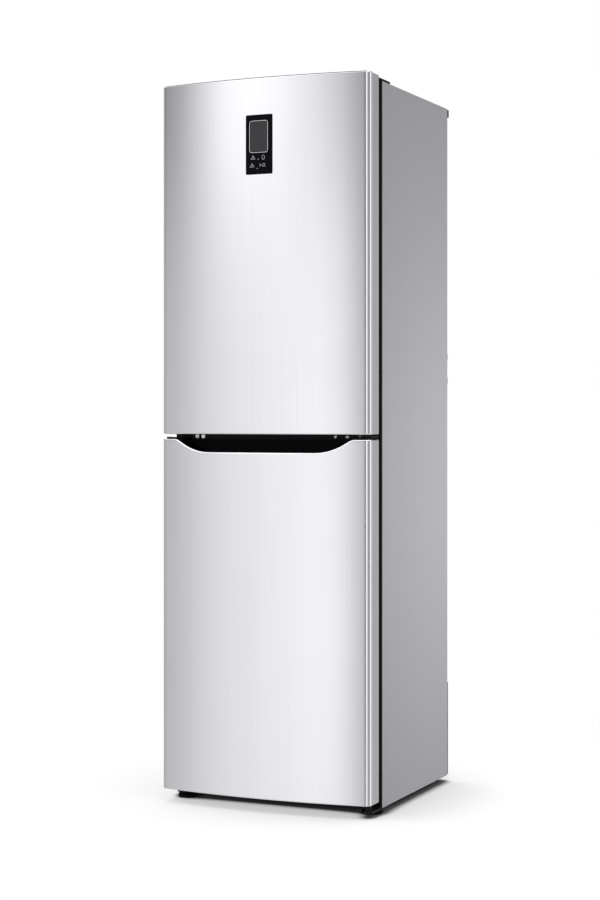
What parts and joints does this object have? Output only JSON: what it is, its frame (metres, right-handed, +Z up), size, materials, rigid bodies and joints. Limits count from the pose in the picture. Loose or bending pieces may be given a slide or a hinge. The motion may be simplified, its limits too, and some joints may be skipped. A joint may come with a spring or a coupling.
{
  "type": "two-door refrigerator",
  "caption": "Tall bottom-freezer refrigerator with curved brushed-steel doors, a black display, a scooped freezer handle, glass shelves, crispers and freezer drawers.",
  "frame": {"origin": "centre of the bounding box on the floor under the feet", "axes": "+Z up, -Y out of the doors towards the user, +X to the user's right, the hinge side"},
  "size_m": [0.595, 0.62, 1.9055],
  "materials": {
    "steel_door": "satin",
    "grey_cabinet": "satin",
    "rear_sheet": "satin",
    "white_liner": "satin",
    "foam": "matte",
    "plain_steel": "satin",
    "black_steel": "satin",
    "black_plastic": "matte",
    "dark_cover": "matte",
    "black_rubber": "matte",
    "display_black": "gloss",
    "shelf_glass": "gloss",
    "shelf_trim": "satin",
    "clear_plastic": "gloss",
    "white_plastic": "satin",
    "lamp_diffuser": "satin",
    "evaporator_metal": "satin"
  },
  "bodies": {
    "cabinet": {"cabinet_shell": "grey_cabinet", "rear_panel": "rear_sheet", "fridge_liner": "white_liner", "freezer_liner": "white_liner", "evaporator_cover": "white_liner", "air_duct": "white_liner", "hole_plugs": "white_liner", "cabinet_foam": "foam", "base_pan": "plain_steel", "compressor_base": "plain_steel", "top_hinge": "plain_steel", "screws": "plain_steel", "compressor": "black_steel", "divider_rail": "black_steel", "middle_hinge": "black_steel", "lower_hinge": "black_steel", "foot_bracket": "black_steel", "hinge_cover": "black_plastic", "rear_spacers": "black_plastic", "cord_gland": "black_plastic", "fan_motor": "black_plastic", "machine_cover": "dark_cover", "control_box": "dark_cover", "compressor_mounts": "black_rubber", "crisper_cover_glass": "shelf_glass", "shelf_glass_low": "shelf_glass", "shelf_glass_middle": "shelf_glass", "shelf_glass_high": "shelf_glass", "shelf_trims": "shelf_trim", "drain_tray": "white_plastic", "lamp_cover": "lamp_diffuser", "evaporator": "evaporator_metal"},
    "fridge_door": {"fridge_door_skin": "steel_door", "fridge_door_top_cap": "black_plastic", "fridge_door_bottom_cap": "black_plastic", "fridge_door_foam": "foam", "fridge_door_liner": "white_liner", "fridge_door_frame": "white_liner", "fridge_door_gasket": "black_rubber", "display_glass": "display_black", "display_housing": "black_plastic", "door_basket_bottom": "clear_plastic", "door_basket_middle": "clear_plastic", "door_basket_top": "clear_plastic"},
    "freezer_door": {"freezer_door_skin": "steel_door", "freezer_door_handle_cap": "black_plastic", "freezer_door_bottom_cap": "black_plastic", "freezer_door_foam": "foam", "freezer_door_liner": "white_liner", "freezer_door_gasket": "black_rubber"},
    "fan": {"evaporator_fan": "white_plastic"},
    "crisper_left": {"crisper_left": "clear_plastic"},
    "crisper_right": {"crisper_right": "clear_plastic"},
    "freezer_drawer_bottom": {"freezer_drawer_bottom": "clear_plastic"},
    "freezer_drawer_middle": {"freezer_drawer_middle": "clear_plastic"},
    "freezer_drawer_top": {"freezer_drawer_top": "clear_plastic"},
    "foot_left": {"foot_left": "black_plastic"},
    "foot_right": {"foot_right": "black_plastic"},
    "roller_left": {"roller_left": "black_plastic"},
    "roller_right": {"roller_right": "black_plastic"}
  },
  "joints": [
    {"name": "fridge_door_hinge", "type": "hinge", "parent": "cabinet", "child": "fridge_door", "pos_m": [0.2815, -0.25, 1.438], "axis": [0, 0, 1], "range_deg": [0, 135]},
    {"name": "freezer_door_hinge", "type": "hinge", "parent": "cabinet", "child": "freezer_door", "pos_m": [0.2815, -0.25, 0.5], "axis": [0, 0, 1], "range_deg": [0, 135]},
    {"name": "crisper_left_slide", "type": "slide", "parent": "cabinet", "child": "crisper_left", "axis": [0, -1, 0], "range_m": [0, 0.18]},
    {"name": "crisper_right_slide", "type": "slide", "parent": "cabinet", "child": "crisper_right", "axis": [0, -1, 0], "range_m": [0, 0.18]},
    {"name": "freezer_drawer_bottom_slide", "type": "slide", "parent": "cabinet", "child": "freezer_drawer_bottom", "axis": [0, -1, 0], "range_m": [0, 0.12]},
    {"name": "freezer_drawer_middle_slide", "type": "slide", "parent": "cabinet", "child": "freezer_drawer_middle", "axis": [0, -1, 0], "range_m": [0, 0.12]},
    {"name": "freezer_drawer_top_slide", "type": "slide", "parent": "cabinet", "child": "freezer_drawer_top", "axis": [0, -1, 0], "range_m": [0, 0.12]},
    {"name": "fan_spin", "type": "hinge", "parent": "cabinet", "child": "fan", "pos_m": [0, 0.204, 0.83175], "axis": [0, 1, 0], "continuous": true},
    {"name": "foot_left_turn", "type": "hinge", "parent": "cabinet", "child": "foot_left", "pos_m": [-0.2665, -0.19, 0.005], "axis": [0, 0, 1], "range_deg": [-360, 360]},
    {"name": "foot_right_turn", "type": "hinge", "parent": "cabinet", "child": "foot_right", "pos_m": [0.2665, -0.19, 0.005], "axis": [0, 0, 1], "range_deg": [-360, 360]},
    {"name": "roller_left_spin", "type": "hinge", "parent": "cabinet", "child": "roller_left", "pos_m": [-0.2715, 0.244, 0.011], "axis": [1, 0, 0], "continuous": true},
    {"name": "roller_right_spin", "type": "hinge", "parent": "cabinet", "child": "roller_right", "pos_m": [0.2715, 0.244, 0.011], "axis": [1, 0, 0], "continuous": true}
  ],
  "couplings": [
    {"joint": "crisper_left_slide", "follows": "fridge_door_hinge", "m_per_rad": 0.07},
    {"joint": "crisper_right_slide", "follows": "fridge_door_hinge", "m_per_rad": 0.07},
    {"joint": "freezer_drawer_bottom_slide", "follows": "freezer_door_hinge", "m_per_rad": 0.045},
    {"joint": "freezer_drawer_middle_slide", "follows": "freezer_door_hinge", "m_per_rad": 0.045},
    {"joint": "freezer_drawer_top_slide", "follows": "freezer_door_hinge", "m_per_rad": 0.045}
  ]
}
